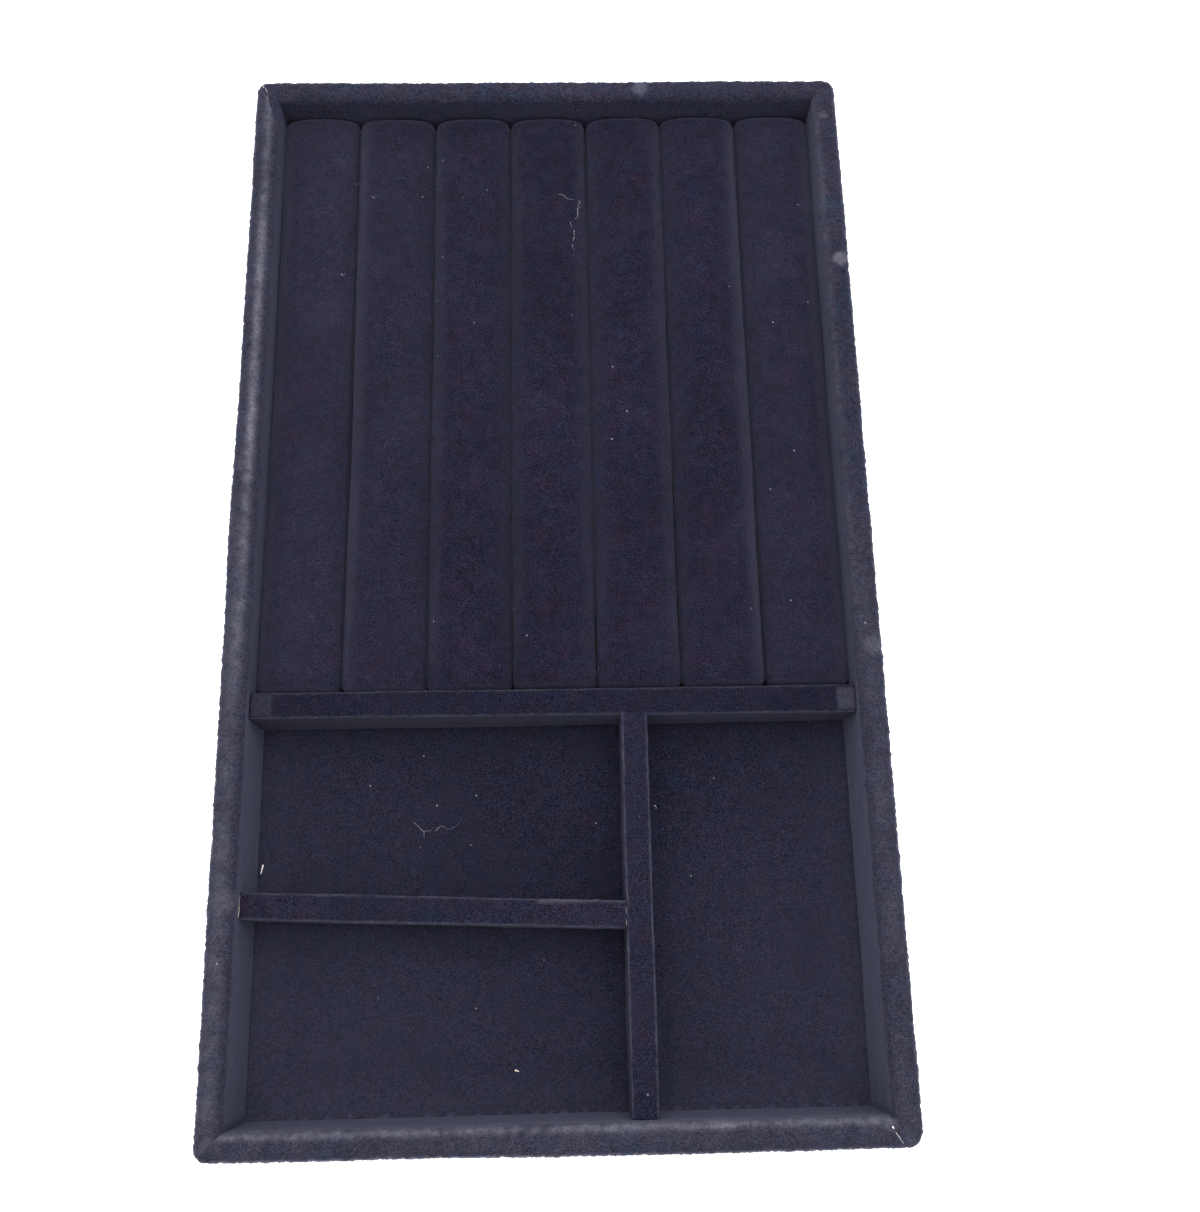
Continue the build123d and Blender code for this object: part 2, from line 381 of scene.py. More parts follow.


# Each velvet: its pile, how uneven it is, its paler pile for wear and for painted light, and its sheen
worn_and_lit_wall = (0.14, 0.135, 0.165)
worn_and_lit_divider = (0.06, 0.06, 0.085)
wall_pile = velvet_material("wall velvet", (0.0128, 0.0128, 0.023), 0.2, worn_and_lit_wall, 0.15)
# A shaded copy of the wall velvet, with less sheen: painted shade on inner faces
shaded_pile = velvet_material("shaded wall velvet", (0.0145, 0.0142, 0.026), 0.2, worn_and_lit_wall, 0.1)
divider_pile = velvet_material("divider velvet", (0.0078, 0.0076, 0.016), 0.2, worn_and_lit_divider, 0.05)
cross_pile = velvet_material("cross divider velvet", (0.0058, 0.0056, 0.0125), 0.2, worn_and_lit_divider, 0.045)
floor_pile = velvet_material("floor velvet", (0.008, 0.0077, 0.0161), 0.14, (0.05, 0.05, 0.082), 0.1)
roll_pile = velvet_material("roll velvet", (0.0068, 0.0059, 0.0139), 0.26, (0.044, 0.042, 0.07), 0.1)
# Painted shade for the seams between the rolls
seam_shade_pile = velvet_material("roll seam painted shade", (0.0056, 0.005, 0.0112), 0.2, (0.03, 0.028, 0.045), 0.068)
felt = velvet_material("underside felt", (0.009, 0.009, 0.0115), 0.15, (0.03, 0.03, 0.036), 0.05, 0.2)
bare_board = board_material("wall board", (0.80, 0.76, 0.68), (0.62, 0.57, 0.48), 900)
grey_card = board_material("grey card", (0.36, 0.34, 0.31), (0.24, 0.23, 0.21), 700)

for node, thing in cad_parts.items():
    hidden_card = "card" in node or "pad" in node or node == "base_board"
    thing.data.materials.clear()
    thing.data.materials.append(grey_card if hidden_card else bare_board)


# The wraps: one ring of velvet round the walls, cut at its four corner seams

def rounded_corner(place, normal):
    """Pulls the square corner of the ring in to its round outline, at every height."""
    across = abs(place.x) - (half_width - corner_radius)
    beside = abs(place.y) - (half_length - corner_radius)
    if across <= 0 or beside <= 0:
        return place
    shrink = max(across, beside) / hypot(across, beside)
    side = 1 if place.x > 0 else -1
    end = 1 if place.y > 0 else -1
    x = half_width - corner_radius + across * shrink
    y = half_length - corner_radius + beside * shrink
    return Vector((side * x, end * y, place.z))


def velvet_ring():
    """The velvet round all four walls before it is cut: up, over, down and turned in below."""
    low, high = (-half_width, -half_length, velvet_foot), (half_width, half_length, rim_top)
    ring = block("velvet_ring", low, high)
    choose(ring, "FACE", lambda middle, normal: normal.z > 0.9)
    bpy.ops.mesh.inset(thickness=wall_width)
    bpy.ops.mesh.extrude_region_move(TRANSFORM_OT_translate={"value": (0, 0, board_foot - rim_top)})
    bpy.ops.mesh.delete(type="FACE")
    choose(ring, "FACE", lambda middle, normal: normal.z < -0.9)
    bpy.ops.mesh.inset(thickness=hem_width)
    bpy.ops.mesh.delete(type="FACE")
    upper, lower = rim_top - slack, velvet_foot + slack
    tall = (rim_top - velvet_foot) / 2
    flat = wall_width - 2 * rim_radius
    long_edge = 4 * mm

    def level(run):
        return along(run, 0) or along(run, 1)

    def outside(middle):
        return abs(middle.x) > half_width - slack or abs(middle.y) > half_length - slack

    round_off(ring, rim_radius, 6, lambda middle, run: middle.z > upper and level(run))
    round_off(ring, foot_radius, 2, lambda middle, run: middle.z < lower and level(run) and outside(middle))
    divide(ring, lambda middle, run: along(run, 2) and run.length > tall, 15)
    divide(ring, lambda middle, run: middle.z > upper and run.length > flat and not level(run), 4)
    divide(ring, lambda middle, run: middle.z < lower and abs(run.z) < lower and not level(run)
           and run.length > hem_width, 5)
    divide(ring, lambda middle, run: along(run, 1) and run.length > long_edge, 21, 27)
    divide(ring, lambda middle, run: along(run, 0) and run.length > long_edge, 15, 22)
    close_edit(ring)
    move_points(ring, rounded_corner)
    return ring


def seam(side, end, turn, shift=0.0, gape=0.0, opened=(0.0, 0.0)):
    """The seam at one corner, which runs outwards from the inside corner.

    side and end are the signs of the corner in X and Y, and turn is the seam's angle from the Y axis.
    Its start is shifted along X. It gapes by a width between the two distances outwards in opened.
    """
    start = Vector((side * right_face + shift, end * far_face, 0))
    run = Vector((side * sin(radians(turn)), end * cos(radians(turn)), 0))
    corner = Vector((side * half_width, end * half_length, 0))
    return {"start": start, "run": run, "gape": gape, "opened": opened, "corner": corner}


near_left = seam(-1, -1, 45)
near_right = seam(1, -1, 24.6, shift=-0.9 * mm, gape=0.22 * mm, opened=(1.6 * mm, 8.8 * mm))
far_right = seam(1, 1, 40, gape=0.15 * mm, opened=(1 * mm, 9 * mm))
far_left = seam(-1, 1, 19.6, shift=-3.5 * mm, gape=0.3 * mm, opened=(-4.5 * mm, 8 * mm))
wall_seams = {
    "near": (near_left, near_right),
    "right": (near_right, far_right),
    "far": (far_right, far_left),
    "left": (far_left, near_left),
}
wall_middles = {
    "near": Vector((0, -half_length, 0)),
    "right": Vector((half_width, 0, 0)),
    "far": Vector((0, half_length, 0)),
    "left": Vector((-half_width, 0, 0)),
}

# Places on the rims where the pile is crushed, with how far they reach and how strongly they show
crushed_spots = [
    (Vector((97.6, 102.2, 32)) * mm, 2.7 * mm, 0.5),
    (Vector((98.0, -31.2, 32)) * mm, 3.6 * mm, 0.26),
    (Vector((-97.2, 30.6, 32)) * mm, 2.6 * mm, 0.2),
    (Vector((-95.7, -103.5, 31.6)) * mm, 4.0 * mm, 0.24),
    (Vector((32.4, 169.5, 32)) * mm, 2.8 * mm, 0.32),
    (Vector((95.3, 158.3, 32)) * mm, 1.6 * mm, 0.25),
    (Vector((91.5, -167.5, 31.5)) * mm, 2.4 * mm, 0.3),
]

# Bands along the rims painted paler: partly brushed pile and partly painted highlight and sheen on the
# rounded rims, strongest on the near wall's inner edge. How far in from the outside each lies, how far it
# reaches, how much it shows, and where along the wall it fades from and to, in mm
everywhere = (-220, -200)
brushed_and_highlight_bands = {
    "near": [(6.6, 1.1, 0.54, *everywhere), (3.2, 3.2, 0.08, *everywhere)],
    "right": [(6.8, 1.2, 0.14, -60, 20), (3.8, 3.6, 0.11, 60, -60)],
    "far": [(3.6, 2.4, 0.01, *everywhere)],
    "left": [(4.6, 1.4, 0.58, -60, 40), (3.4, 2.8, 0.24, 60, -60), (2.8, 2.6, 0.06, -60, 40)],
}

# Painted sheen: how much paler the pile is painted along the outer edge of each rim, where it is seen
# edge-on
edge_on_sheen = {"near": 0.85, "right": 0.45, "far": 0.6, "left": 0.35}


def rim_wear_and_highlight(wall):
    """A rule for how pale one wall's wrap is painted: brushed pile and painted highlight in bands, painted
    sheen along its outer edge, and crushed spots.
    """
    crosswise = 1 if wall in ("near", "far") else 0
    outside = (half_length if crosswise else half_width) / mm

    def rule(place, normal):
        across = outside - abs(place[crosswise]) / mm
        beside = place[1 - crosswise] / mm
        high = ramp(place.z, rim_top - 9 * mm, rim_top - 2 * mm)
        coarse, fine = noise.noise(place / (17 * mm)), noise.noise(place / (2.6 * mm))
        streak = max(0, 0.78 + 0.45 * coarse + 0.5 * fine)
        wear_and_painted_light = 0
        # Brushed pile and painted highlight, band by band
        for middle, reach, strength, start, end in brushed_and_highlight_bands[wall]:
            fade = ramp(beside, start, end) if end > start else 1 - ramp(beside, end, start)
            wear_and_painted_light += strength * bump_at(across - middle, reach) * fade * streak * high
        # Painted sheen on the outer face near the top, where it is seen edge-on
        if across < 4 and normal[crosswise] * place[crosswise] > 0:
            edge_on = ramp(abs(normal[crosswise]), 0.7, 1)
            wear_and_painted_light += edge_on_sheen[wall] * edge_on * ramp(place.z, rim_top - 3.5 * mm, rim_top - 2 * mm)
        if wall == "left":
            wear_and_painted_light *= 1 - 0.45 * ramp(beside, 110, 165)
        for spot, spread, strength in crushed_spots:
            ragged = (place - spot).length + 0.9 * mm * noise.noise(place / (1.2 * mm))
            wear_and_painted_light = max(wear_and_painted_light, strength * (1 - ramp(ragged, 0.5 * spread, 1.3 * spread)))
        return wear_and_painted_light
    return rule


def wall_wrap(ring, place):
    """One wall's velvet, cut from the ring at its two seams and pulled back where a seam gapes."""
    wrap = duplicate(ring, f"wall_wrap_{place}")
    middle = wall_middles[place]
    pull_reach = 4 * mm
    pulls = []
    open_edit(wrap)
    cut((0, 0, 0), -middle)
    for joint in wall_seams[place]:
        away = Vector((-joint["run"].y, joint["run"].x, 0))
        if away.dot(middle - joint["start"]) > 0:
            away.negate()
        cut(joint["start"], away)
        pulls.append((joint, away))
    close_edit(wrap)

    def pulled_back(point, normal):
        for joint, away in pulls:
            distance = -(point - joint["start"]).dot(away)
            outwards = (point - joint["start"]).dot(joint["run"])
            first, last = joint["opened"]
            if distance < pull_reach and first < outwards < last:
                lengthwise = (middle - joint["corner"]).normalized()
                opened = ramp(point.z, rim_top - 12 * mm, rim_top - 1.5 * mm)
                opened *= ramp(outwards, first, first + 2.5 * mm)
                opened *= 1 - ramp(outwards, last - 2 * mm, last)
                opened *= 1 - ramp(distance, 0, pull_reach)
                point = point + lengthwise * joint["gape"] / 2 * opened
        return point

    move_points(wrap, pulled_back)
    paint_wear_and_light(wrap, rim_wear_and_highlight(place))
    thicken(wrap)
    dress(wrap, wall_pile, [f"wall_velvet_{place}"])
    # Painted shade: the near wall's inner face and the inner faces beside the rolls take the shaded copy
    wrap.data.materials.append(shaded_pile)
    for face in wrap.data.polygons:
        if in_painted_shade(face.center):
            face.material_index = 1


def depth_inside(place):
    """How far a place lies inside the tray's outline."""
    return min(half_width - abs(place.x), half_length - abs(place.y))


def in_painted_shade(place):
    """Whether a place lies where shade is painted: on the near wall's inner face, or on any wall's inner
    face beside the rolls.
    """
    skin = 1.4 * mm
    inner_face = depth_inside(place) > wall_width - skin and place.z < rim_top - 1 * mm
    return inner_face and (place.y > cross_high.y or place.y < near_face + skin)


def proud(place, normal):
    """Stands the pile proud of the boards outside and over the rim, most where the velvet is loosest."""
    right = 0.4 * max(0, normal.x) if place.x > 0 else 0
    left = 0.5 * bump_at(place.y, 45 * mm) * max(0, -normal.x) if place.x < 0 else 0
    near = 0.65 * ramp(place.x, -60 * mm, 50 * mm) * max(0, -normal.y) if place.y < 0 else 0
    loose = normal * 0.3 + Vector((right - left, -near, 0))
    moved = place + loose * mm * (1 - ramp(depth_inside(place), 4.5 * mm, 7 * mm))
    moved.z = max(velvet_foot, moved.z)
    return moved


def rim_share(place):
    """How much of the fine ruffles a place has: all of them at the rim, where pile is seen edge-on."""
    return 0.12 + 0.88 * ramp(place.z, rim_top - 4.5 * mm, rim_top - 2 * mm)


ring = velvet_ring()
move_points(ring, ruffled(wall_waves, lambda place: 1 if place.z > board_foot else 0.4))
move_points(ring, ruffled(rim_waves, rim_share))
move_points(ring, proud)
for place in wall_seams:
    wall_wrap(ring, place)
bpy.data.objects.remove(ring)


# The divider sleeves

def sleeve(name, length):
    """A sleeve along X, open below and at its ends, centred on the origin."""
    piece = block(name, (-length / 2, -divider_width / 2, board_foot),
                  (length / 2, divider_width / 2, divider_top))
    drop_faces(piece, lambda middle, normal: normal.z < -0.9 or abs(normal.x) > 0.9)
    round_off(piece, ridge_radius, 5, lambda middle, run: along(run, 0) and middle.z > divider_top - slack)
    divide(piece, lambda middle, run: along(run, 1) and run.length > divider_width / 3, 6)
    divide(piece, lambda middle, run: along(run, 2) and run.length > divider_width, 18)
    stretches = 12
    faces_each = round(length / mm / 0.9 / stretches)
    divide(piece, lambda middle, run: along(run, 0), stretches - 1, faces_each - 1)
    close_edit(piece)
    return piece


def ridge_wear_and_light(strength, squares=()):
    """A rule for ridges painted paler, partly worn and partly painted highlight, and near faces painted
    lighter, most at their foot, with crushed squares at some places of the ridge.
    """
    def rule(place, normal):
        flank = hypot(normal.x, normal.y)
        # Worn pile and painted highlight on the rounded ridges
        ridge = max(0, 2 * flank * normal.z - 0.5) / 0.5
        streak = 0.7 + 0.5 * noise.noise(place / (9 * mm)) + 0.5 * noise.noise(place / (2.2 * mm))
        wear_and_painted_light = strength * ridge * max(0, streak)
        # Painted light: the near faces are lightened, most at their foot, to lift their shade
        if normal.y < -0.7:
            wear_and_painted_light += 0.28 + 0.14 * (1 - ramp(place.z, pad_high.z, divider_top))
        for spot, half_size, crushed in squares:
            inside = max(abs(place.x - spot.x) - half_size.x, abs(place.y - spot.y) - half_size.y)
            if place.z > divider_top - 2 * mm:
                wear_and_painted_light = max(wear_and_painted_light, crushed * (1 - ramp(inside, -0.5 * mm, 0.6 * mm)))
        return wear_and_painted_light
    return rule


def finish_sleeve(piece, name, worn_and_lit, squares=()):
    """Roughens, thickens and dresses a sleeve that stands in its place."""
    move_points(piece, ruffled(sleeve_waves))
    paint_wear_and_light(piece, ridge_wear_and_light(worn_and_lit, squares))
    thicken(piece)
    pile = cross_pile if name == "cross_divider" else divider_pile
    dress(piece, pile, [f"{name}_velvet"])


cross_middle = (cross_low + cross_high) / 2
long_middle = (long_low + long_high) / 2
short_middle = (short_low + short_high) / 2


def lean_forward(place, normal):
    """Lets the loose velvet lean forward towards its right end, most along its near ridge."""
    share = (place.x - left_face) / cross_run
    loose = 0.8 - 0.4 * (place.y - cross_middle.y) / (divider_width / 2)
    forward = loose * mm * share * ramp(place.z, pad_high.z, divider_top)
    return place - Vector((0, forward, 0))


cross_sleeve = sleeve("divider_sleeve_cross", cross_run)
move_points(cross_sleeve, lambda place, normal: place + Vector((cross_middle.x, cross_middle.y, 0)))
move_points(cross_sleeve, lean_forward)
square_half = Vector((3.2, 3.3, 0)) * mm
cross_squares = [
    (Vector((right_face - 2.7 * mm, cross_middle.y - 0.8 * mm, 0)), square_half, 0.42),
    (Vector((left_face + 3.6 * mm, cross_middle.y, 0)), square_half, 0.2),
]
finish_sleeve(cross_sleeve, "cross_divider", 0.36, cross_squares)

long_run = long_high.y - long_low.y
long_sleeve = sleeve("divider_sleeve_long", long_run)
quarter = Matrix.Rotation(pi / 2, 3, "Z")
move_points(long_sleeve, lambda place, normal: quarter @ place + Vector((long_middle.x, long_middle.y, 0)))
finish_sleeve(long_sleeve, "long_divider", 0.7)

# The short sleeve is made too long, turned askew and trimmed square to its neighbours
short_run = short_high.x - short_low.x
short_gap = 0.35 * mm
short_sleeve = sleeve("divider_sleeve_short", short_run * 1.04)
askew = Matrix.Rotation(-short_skew, 3, "Z")
move_points(short_sleeve, lambda place, normal: askew @ place + Vector((short_middle.x, short_middle.y, 0)))
open_edit(short_sleeve)
cut((short_low.x + short_gap, 0, 0), (-1, 0, 0))
cut((short_high.x, 0, 0), (1, 0, 0))
close_edit(short_sleeve)
crushed_edge = [(Vector((3.5 * mm, short_middle.y + 2.2 * mm, 0)), Vector((9, 0.7, 0)) * mm, 0.7)]
finish_sleeve(short_sleeve, "short_divider", 0.58, crushed_edge)


# The bay floors: velvet drawn over a card, its pile reaching the walls

floor_reach = 0.45 * mm
floor_edge = 0.35 * mm


def bay_floor(place, corners):
    """A floor from its corners, near left first and round to the right, rounded down at its edges."""
    low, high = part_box(f"floor_velvet_{place}")
    low -= Vector((floor_reach, floor_reach, 0))
    high += Vector((floor_reach, floor_reach, 0))
    floor = block(f"bay_floor_{place}", low, high)
    near_low, near_high, far_high, far_low = corners

    def fitted(point, normal):
        x_share = (point.x - low.x) / (high.x - low.x)
        y_share = (point.y - low.y) / (high.y - low.y)
        near = near_low.lerp(near_high, x_share)
        far = far_low.lerp(far_high, x_share)
        flat = near.lerp(far, y_share)
        return Vector((flat.x, flat.y, point.z))

    drop_faces(floor, lambda middle, normal: normal.z < -0.9)
    round_off(floor, floor_edge, 2, lambda middle, run: middle.z > high.z - slack)
    stretches = 8
    for axis, span in ((0, high.x - low.x), (1, high.y - low.y)):
        faces_each = round(span / (1.1 * mm) / stretches)
        divide(floor, lambda middle, run: along(run, axis) and run.length > 1.2 * mm,
               stretches - 1, faces_each - 1)
    close_edit(floor)
    move_points(floor, fitted)

    def away_from_edges(point):
        inward = min(point.x - low.x, high.x - point.x, point.y - low.y, high.y - point.y)
        return max(0.25, min(1, inward / (6 * mm)))

    move_points(floor, ruffled(floor_waves, away_from_edges))

    def floor_wear_and_light(point, normal):
        # A dashed pale line along the near edge: crushed pile and a painted highlight on the rolled edge
        near_edge = bump_at(point.y - corners[0].y - 0.5 * mm, 0.35 * mm) if place != "back_left" else 0
        dashes = ramp(noise.noise(Vector((point.x, 0, 0)) / (2.1 * mm)), -0.1, 0.25)
        border = min(point.x - low.x, high.x - point.x)
        wall = min(point.x - left_face, right_face - point.x, point.y - near_face)
        across = (point.x - low.x) / (high.x - low.x)
        # Painted light: the pile is painted lighter towards the near wall and the middle of the tray, away
        # from the dividers' shadow, then beside the walls (partly brushed pile there too), beside the
        # dividers and along the far edge, lifting their shade
        slant = 0.11 * across - 0.05 if place == "right" else 0.09 - 0.18 * across
        floor_light_and_brushing = max(0, 0.18 * (cross_low.y - point.y) / (cross_low.y - near_face) + slant)
        floor_light_and_brushing += 0.14 * (1 - ramp(wall, 0, 15 * mm)) + 0.04 * (1 - ramp(border, 0, 6 * mm))
        floor_light_and_brushing += 0.08 * (1 - ramp(high.y - point.y, 1 * mm, 13 * mm))
        return 0.75 * near_edge * dashes + floor_light_and_brushing

    paint_wear_and_light(floor, floor_wear_and_light)
    thicken(floor)
    dress(floor, floor_pile, [f"floor_velvet_{place}"])


def floor_corners(place, near_drop=0.0, far_drop=0.0):
    """The corners of a floor, with its near or far edge falling towards the right."""
    low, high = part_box(f"floor_velvet_{place}")
    left, right = low.x - floor_reach, high.x + floor_reach
    near, far = low.y - floor_reach, high.y + floor_reach
    return [
        Vector((left, near + near_drop, 0)), Vector((right, near, 0)),
        Vector((right, far - far_drop, 0)), Vector((left, far, 0)),
    ]


fall = short_run * tan(short_skew)
bay_floor("front_left", floor_corners("front_left", far_drop=fall))
bay_floor("back_left", floor_corners("back_left", near_drop=fall))
bay_floor("right", floor_corners("right"))


# The ring rolls: one is modelled and swollen over its foam, then copied

roll_low, roll_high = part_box("ring_roll_velvet_1")
roll_width = roll_high.x - roll_low.x
roll_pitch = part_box("ring_roll_velvet_2")[0].x - roll_low.x
roll_reach = (roll_high.y - roll_low.y) / 2
shoulder_radius = 2.0 * mm
end_radius = 0.8 * mm
corner_turn = 3.2 * mm
spare = 0.4 * mm
sink = 0.4 * mm
puff = 0.5 * mm
crown_arch = 2.8 * mm

# How much paler each roll is painted all over, along its left side and along its right side;
# the side bands are painted sheen on the shoulders
roll_tone_and_sheen = [
    (0.13, 0.2, 0.02), (0.07, 0.17, 0.02), (0.01, 0.1, 0.04), (0.0, 0.07, 0.12),
    (0.0, 0.09, 0.12), (0.01, 0.08, 0.26), (0.08, 0.06, 0.3),
]


def swollen(pad, most):
    """Lets the cloth swell over its filling, and holds each point to within a distance of where it was."""
    before = [point.co.copy() for point in pad.data.vertices]
    cloth = pad.modifiers.new("cloth", "CLOTH")
    cloth.settings.use_pressure = True
    cloth.settings.uniform_pressure_force = 4
    cloth.settings.effector_weights.gravity = 0
    cloth.settings.quality = 5
    for step in range(1, 21):
        bpy.context.scene.frame_set(step)
    bpy.context.view_layer.objects.active = pad
    bpy.ops.object.modifier_apply(modifier=cloth.name)
    bpy.context.scene.frame_set(1)
    for point, home in zip(pad.data.vertices, before):
        move = point.co - home
        if move.length > most:
            point.co = home + move.normalized() * most
    pad.data.update()


def blank_roll():
    """A bar over its own middle with rounded corners, shoulders and ends, in faces of even size."""
    half = roll_pitch / 2 + spare
    foot, crown = pad_high.z, roll_high.z - sink
    roll = block("ring_roll", (-half, -roll_reach, foot), (half, roll_reach, crown))
    round_off(roll, corner_turn, 4, lambda middle, run: along(run, 2))
    round_off(roll, shoulder_radius, 6, lambda middle, run: along(run, 1) and middle.z > crown - slack)
    round_off(roll, end_radius, 4, lambda middle, run: abs(middle.y) > roll_reach - slack
              and middle.z > foot + slack and not along(run, 2))
    close_edit(roll)
    remesh = roll.modifiers.new("remesh", "REMESH")
    remesh.mode = "VOXEL"
    remesh.voxel_size = 1.5 * mm
    bpy.ops.object.modifier_apply(modifier=remesh.name)
    return roll


def settled(place, normal):
    """Presses the roll flat on its board and against its neighbours, and arches its crown between them."""
    half = roll_pitch / 2
    drawn = 1.0 * mm * (1 - ramp(place.z, pad_high.z, pad_high.z + 8 * mm))
    x = max(drawn - half, min(half - drawn, place.x))
    reach = roll_reach + puff
    y = max(-reach, min(reach, place.y))
    z = place.z - crown_arch * abs(place.x / half) ** 3 * ramp(place.z, pad_high.z, roll_high.z)
    return Vector((x, y, min(roll_high.z + puff, max(pad_high.z, z))))


def roll_tone_and_light(middle, paler, left, right):
    """A rule for how pale one roll's pile is painted: all over and in patches, painted light at its ends to
    lift their shade, and painted sheen along its sides.
    """
    def rule(place, normal):
        across = place.x - middle.x
        side = right if across > 0 else left
        # Painted sheen along the shoulder on each side
        sheen_band = side * (1 - ramp(roll_pitch / 2 - abs(across), 0.5 * mm, 6.5 * mm))
        # Painted light at the ends, lifting the shade there
        end = 0.3 * (1 - ramp(min(place.y - roll_low.y, roll_high.y - place.y), 0, 3 * mm))
        return paler + sheen_band + end + 0.05 * ramp(noise.noise(place / (14 * mm)), 0.1, 0.6)
    return rule


roll = blank_roll()
swollen(roll, 0.8 * mm)
subdivision = roll.modifiers.new("smooth", "SUBSURF")
subdivision.levels = subdivision.render_levels = 1
bpy.ops.object.modifier_apply(modifier=subdivision.name)
move_points(roll, settled)
roll_middle_y = (roll_low.y + roll_high.y) / 2
for number, worn_and_lit in enumerate(roll_tone_and_sheen, 1):
    piece = duplicate(roll, f"ring_roll_{number}")
    middle = Vector((roll_low.x + roll_width / 2 + (number - 1) * roll_pitch, roll_middle_y, 0))
    move_points(piece, lambda place, normal: place + middle)
    move_points(piece, ruffled(roll_waves, lambda point: ramp(point.z, pad_high.z, pad_high.z + 6 * mm)))
    paint_wear_and_light(piece, roll_tone_and_light(middle, *worn_and_lit))
    dress(piece, roll_pile, [f"ring_roll_velvet_{number}", f"ring_roll_foam_{number}"])
    # Painted shade: faces in a seam between two rolls take the darker pile, those next to a side wall do
    # not
    piece.data.materials.append(seam_shade_pile)
    for face in piece.data.polygons:
        beside_roll = abs(face.center.x) < right_face - 2 * mm
        if beside_roll and abs(face.center.x - middle.x) > roll_pitch / 2 - 0.8 * mm:
            face.material_index = 1
bpy.data.objects.remove(roll)


# Threads and fluff caught in the pile. Each strand has the height that it lies at, its radius in mm
# and the places in mm that it runs through

roll_top = roll_high.z + 0.2 * mm
floor_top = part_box("floor_velvet_right")[1].z + 0.25 * mm
threads = [
    (roll_top, 0.05, [(3.5, 132.8), (5.1, 132.8), (6.1, 131.2), (7.3, 130.7), (8.8, 130.8)]),
    (roll_top, 0.05, [(10.5, 130.2), (11.2, 128.8), (9.8, 128.5), (10.5, 127.3), (11.5, 127.7)]),
    (roll_top, 0.08, [(10.1, 127.3), (10.0, 126.1), (10.0, 124.9), (10.1, 123.7), (8.9, 123.0)]),
    (roll_top, 0.06, [(7.5, 121.8), (7.4, 121.0), (7.8, 120.5), (8.0, 120.1), (7.7, 119.6)]),
    (roll_top, 0.07, [(8.4, 118.7), (8.9, 118.3), (8.4, 117.6), (8.9, 117.1), (8.5, 116.7)]),
    (roll_top, 0.07, [(8.8, 116.1), (8.2, 115.7), (8.7, 115.2), (8.2, 114.7), (8.5, 114.3)]),
    (roll_top, 0.07, [(7.8, 113.2), (8.3, 112.7), (7.8, 112.2), (8.2, 111.7), (8.7, 111.0)]),
    (roll_top, 0.09, [(-60.6, 132.6), (-60.3, 131.9), (-59.8, 131.8), (-59.4, 132.2), (-59.2, 132.9)]),
    (roll_top, 0.08, [(-70.2, 102.8), (-69.9, 102.1), (-69.4, 102.0), (-69.0, 102.4), (-68.9, 103.0)]),
    (roll_top, 0.09, [(80.1, 134.9), (80.5, 134.3), (81.0, 134.2), (81.4, 134.7), (81.9, 134.8)]),
    (roll_top, 0.075, [(19.2, 41.4), (19.7, 41.0), (20.1, 41.2), (19.9, 41.6), (19.4, 41.3)]),
    (floor_top, 0.07, [(-44.7, -79.4), (-43.6, -80.3), (-42.5, -81.6), (-41.4, -82.5),
                       (-40.1, -82.1), (-38.9, -82.3)]),
    (floor_top, 0.05, [(-41.4, -82.2), (-41.3, -82.9), (-41.4, -83.5), (-41.3, -84.1), (-41.4, -84.4)]),
    (floor_top, 0.05, [(-37.7, -82.3), (-36.4, -80.8), (-35.5, -80.7), (-34.6, -81.9), (-33.3, -81.8),
                       (-31.8, -81.2), (-30.5, -80.3), (-29.6, -78.5)]),
    (floor_top, 0.18, [(30.6, -75.7), (30.9, -75.9), (31.2, -76.1), (31.3, -76.5), (31.1, -76.8)]),
]

# Pale backing that shows through where seams and edges are frayed
rim_level = rim_top + 0.25 * mm
frayed = [
    (rim_level, 0.2, [(91.8, -168.0), (92.0, -168.3), (92.2, -168.7), (92.4, -169.1), (92.6, -169.5)]),
    (rim_level, 0.04, [(92.6, -169.5), (93.1, -170.3), (93.6, -171.0), (94.0, -171.7), (94.5, -172.4)]),
    (rim_level, 0.06, [(-98.0, 170.8), (-97.3, 170.2), (-96.7, 169.3), (-96.3, 168.2), (-96.0, 167.2)]),
    (floor_top, 0.24, [(-90.7, -91.6), (-90.8, -92.3), (-91.0, -93.0), (-91.1, -93.7), (-91.3, -94.4)]),
    (floor_top, 0.2, [(-13.3, -153.2), (-13.0, -153.0), (-12.6, -153.2), (-12.3, -153.4), (-12.1, -153.3)]),
    (divider_top, 0.05, [(-93.5, -101.6), (-93.4, -103.2), (-93.3, -104.8), (-93.2, -106.4),
                         (-93.1, -108.1)]),
]

# Curls of fluff, by their places in mm
roll_fluff = [
    (-36.3, 160.2), (-36.5, 146.8), (-53.4, 143.1), (-66.1, 137.2), (-38.4, 134.8), (-43.2, 132.3),
    (-36.0, 108.7), (-37.8, 92.1), (9.7, 160.7), (48.6, 154.7), (76.0, 148.0), (77.6, 144.7),
    (78.1, 129.1), (86.3, 127.9), (49.5, 119.5), (60.8, 96.7), (23.2, 99.0), (7.4, 86.4),
]
floor_fluff = [(-26.7, -86.7), (-42.5, -87.4)]


